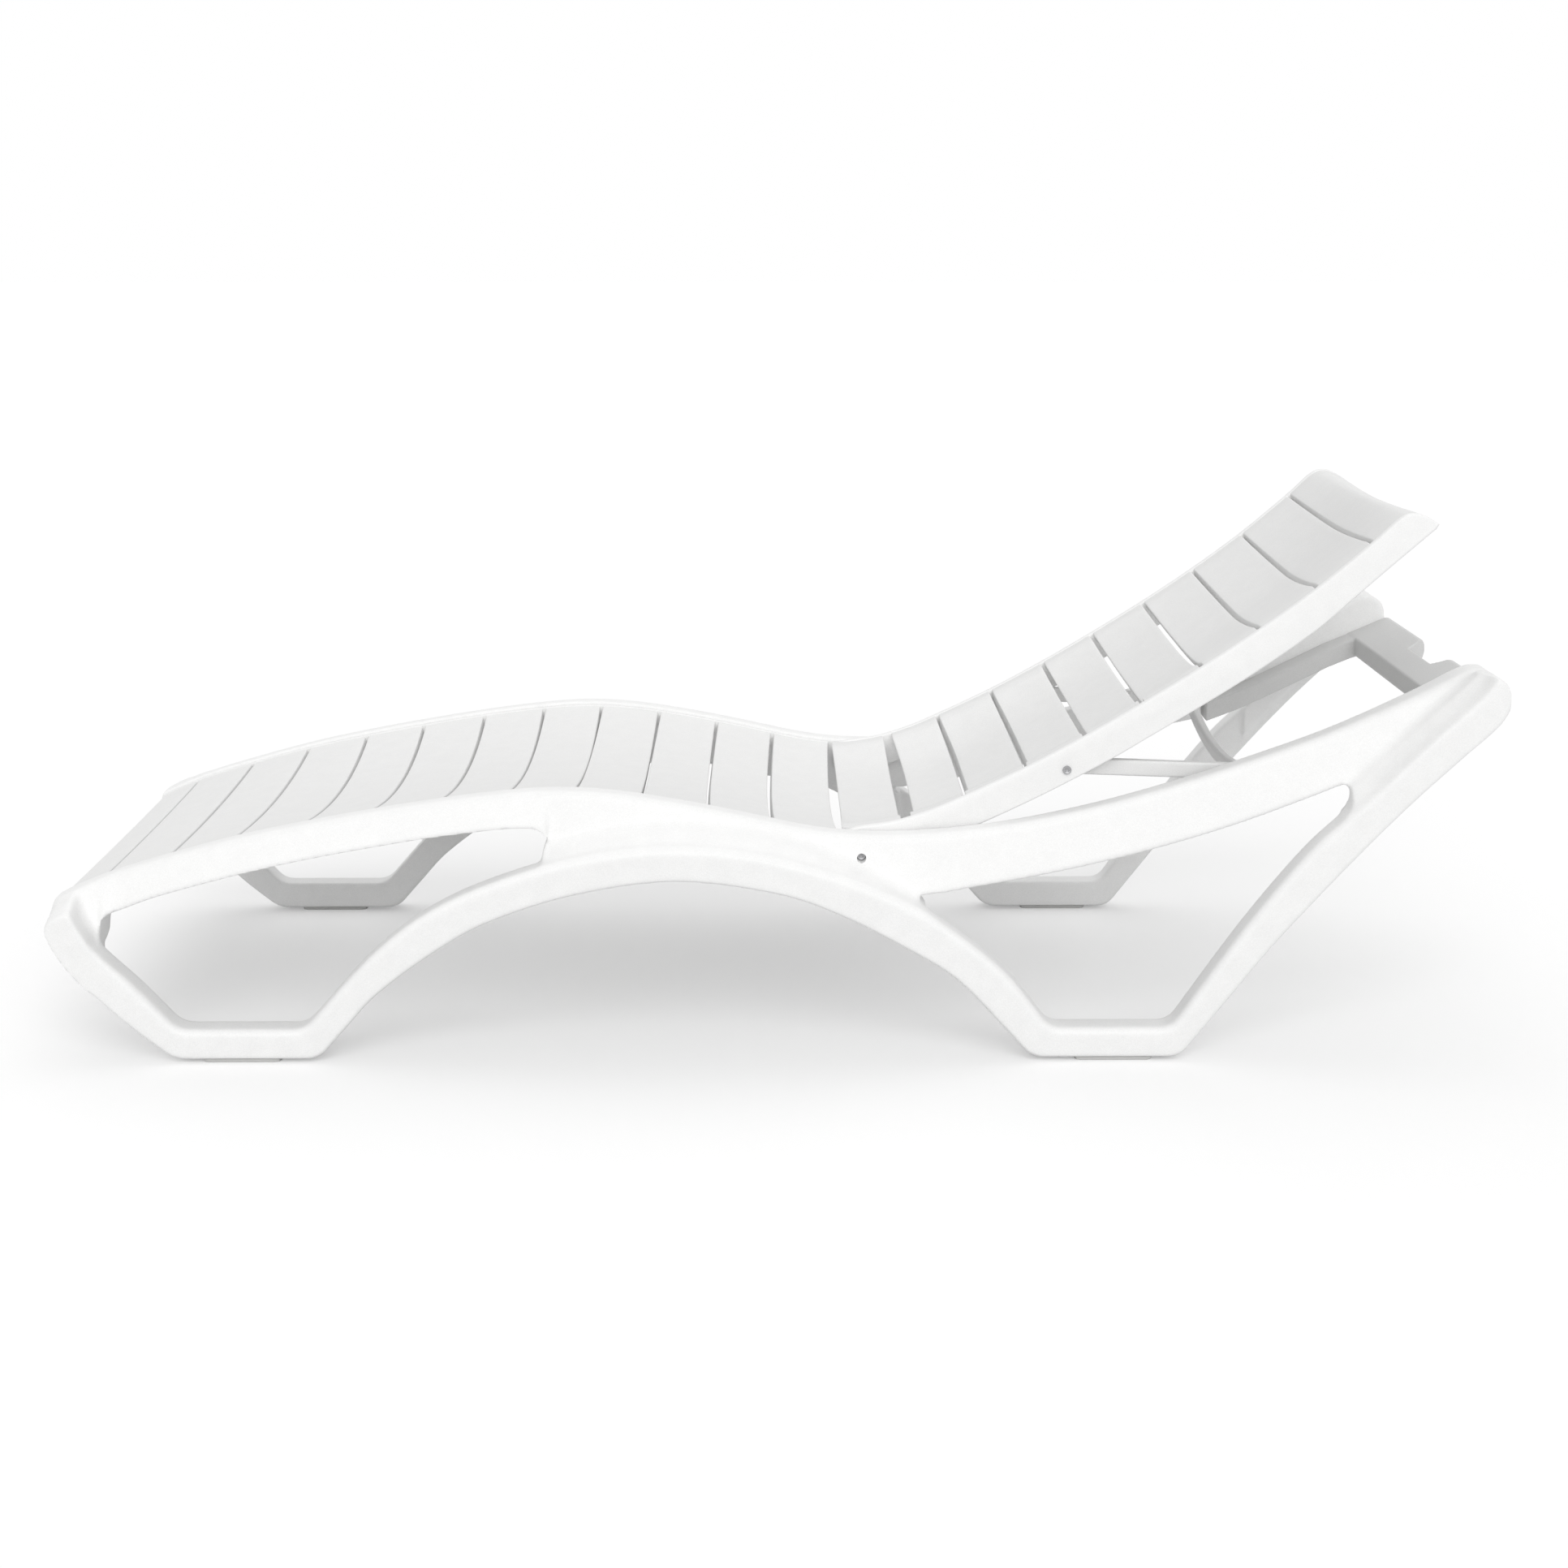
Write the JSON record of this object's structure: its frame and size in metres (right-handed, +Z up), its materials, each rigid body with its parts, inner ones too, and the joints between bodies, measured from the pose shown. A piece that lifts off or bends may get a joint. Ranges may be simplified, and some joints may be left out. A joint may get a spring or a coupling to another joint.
{
  "type": "sun lounger",
  "caption": "Low slatted sun lounger on arched side frames, with a hinged backrest that a folding bail props up on a rear cradle",
  "frame": {"origin": "middle of the footprint on the floor", "axes": "+X towards the head end, +Y to the user's right, +Z up"},
  "size_m": [1.904, 0.7, 0.7124],
  "materials": {
    "frame_white": "fine grained white resin",
    "deck_white": "fine grained white resin",
    "backrest_white": "fine grained white resin",
    "prop_white": "fine grained white resin",
    "bush_nylon": "smooth nylon",
    "pad_grey": "soft matt plastic",
    "bolt_steel": "plated steel",
    "tube_steel": "plated steel tube"
  },
  "bodies": {
    "frame": {"side_frame_left": "frame_white", "side_frame_right": "frame_white", "bed_deck": "deck_white", "rear_cradle": "frame_white", "front_cross_member": "frame_white", "hinge_cross_tube": "tube_steel", "foot_pad_front_left": "pad_grey", "foot_pad_front_right": "pad_grey", "foot_pad_rear_left": "pad_grey", "foot_pad_rear_right": "pad_grey", "hinge_bolt_left": "bolt_steel", "hinge_bolt_right": "bolt_steel", "hinge_nut_left": "bolt_steel", "hinge_nut_right": "bolt_steel", "deck_screw_left_1": "bolt_steel", "deck_screw_left_2": "bolt_steel", "deck_screw_left_3": "bolt_steel", "deck_screw_right_1": "bolt_steel", "deck_screw_right_2": "bolt_steel", "deck_screw_right_3": "bolt_steel", "cradle_screw_left_1": "bolt_steel", "cradle_screw_left_2": "bolt_steel", "cradle_screw_right_1": "bolt_steel", "cradle_screw_right_2": "bolt_steel", "front_member_screw_left": "bolt_steel", "front_member_screw_right": "bolt_steel", "prop_rack_left": "frame_white", "prop_rack_right": "frame_white", "rack_screw_left_1": "bolt_steel", "rack_screw_left_2": "bolt_steel", "rack_screw_right_1": "bolt_steel", "rack_screw_right_2": "bolt_steel", "rack_spacer_left_1": "bush_nylon", "rack_spacer_left_2": "bush_nylon", "rack_spacer_right_1": "bush_nylon", "rack_spacer_right_2": "bush_nylon"},
    "backrest": {"backrest_panel": "backrest_white", "hinge_bush_left": "bush_nylon", "hinge_bush_right": "bush_nylon", "prop_bolt_left": "bolt_steel", "prop_bolt_right": "bolt_steel", "prop_spacer_left": "bush_nylon", "prop_spacer_right": "bush_nylon", "prop_nut_left": "bolt_steel", "prop_nut_right": "bolt_steel"},
    "prop": {"prop_bail": "prop_white"}
  },
  "joints": [
    {"name": "backrest_recline", "type": "hinge", "parent": "frame", "child": "backrest", "pos_m": [0.11748, 0, 0.26501], "axis": [0, -1, 0], "range_deg": [-14, 24]},
    {"name": "prop_swing", "type": "hinge", "parent": "backrest", "child": "prop", "pos_m": [0.39013, 0, 0.37353], "axis": [0, -1, 0], "range_deg": [-53.5, 31.5]}
  ],
  "couplings": [
    {"joint": "prop_swing", "follows": "backrest_recline", "ratio": -2.2}
  ]
}
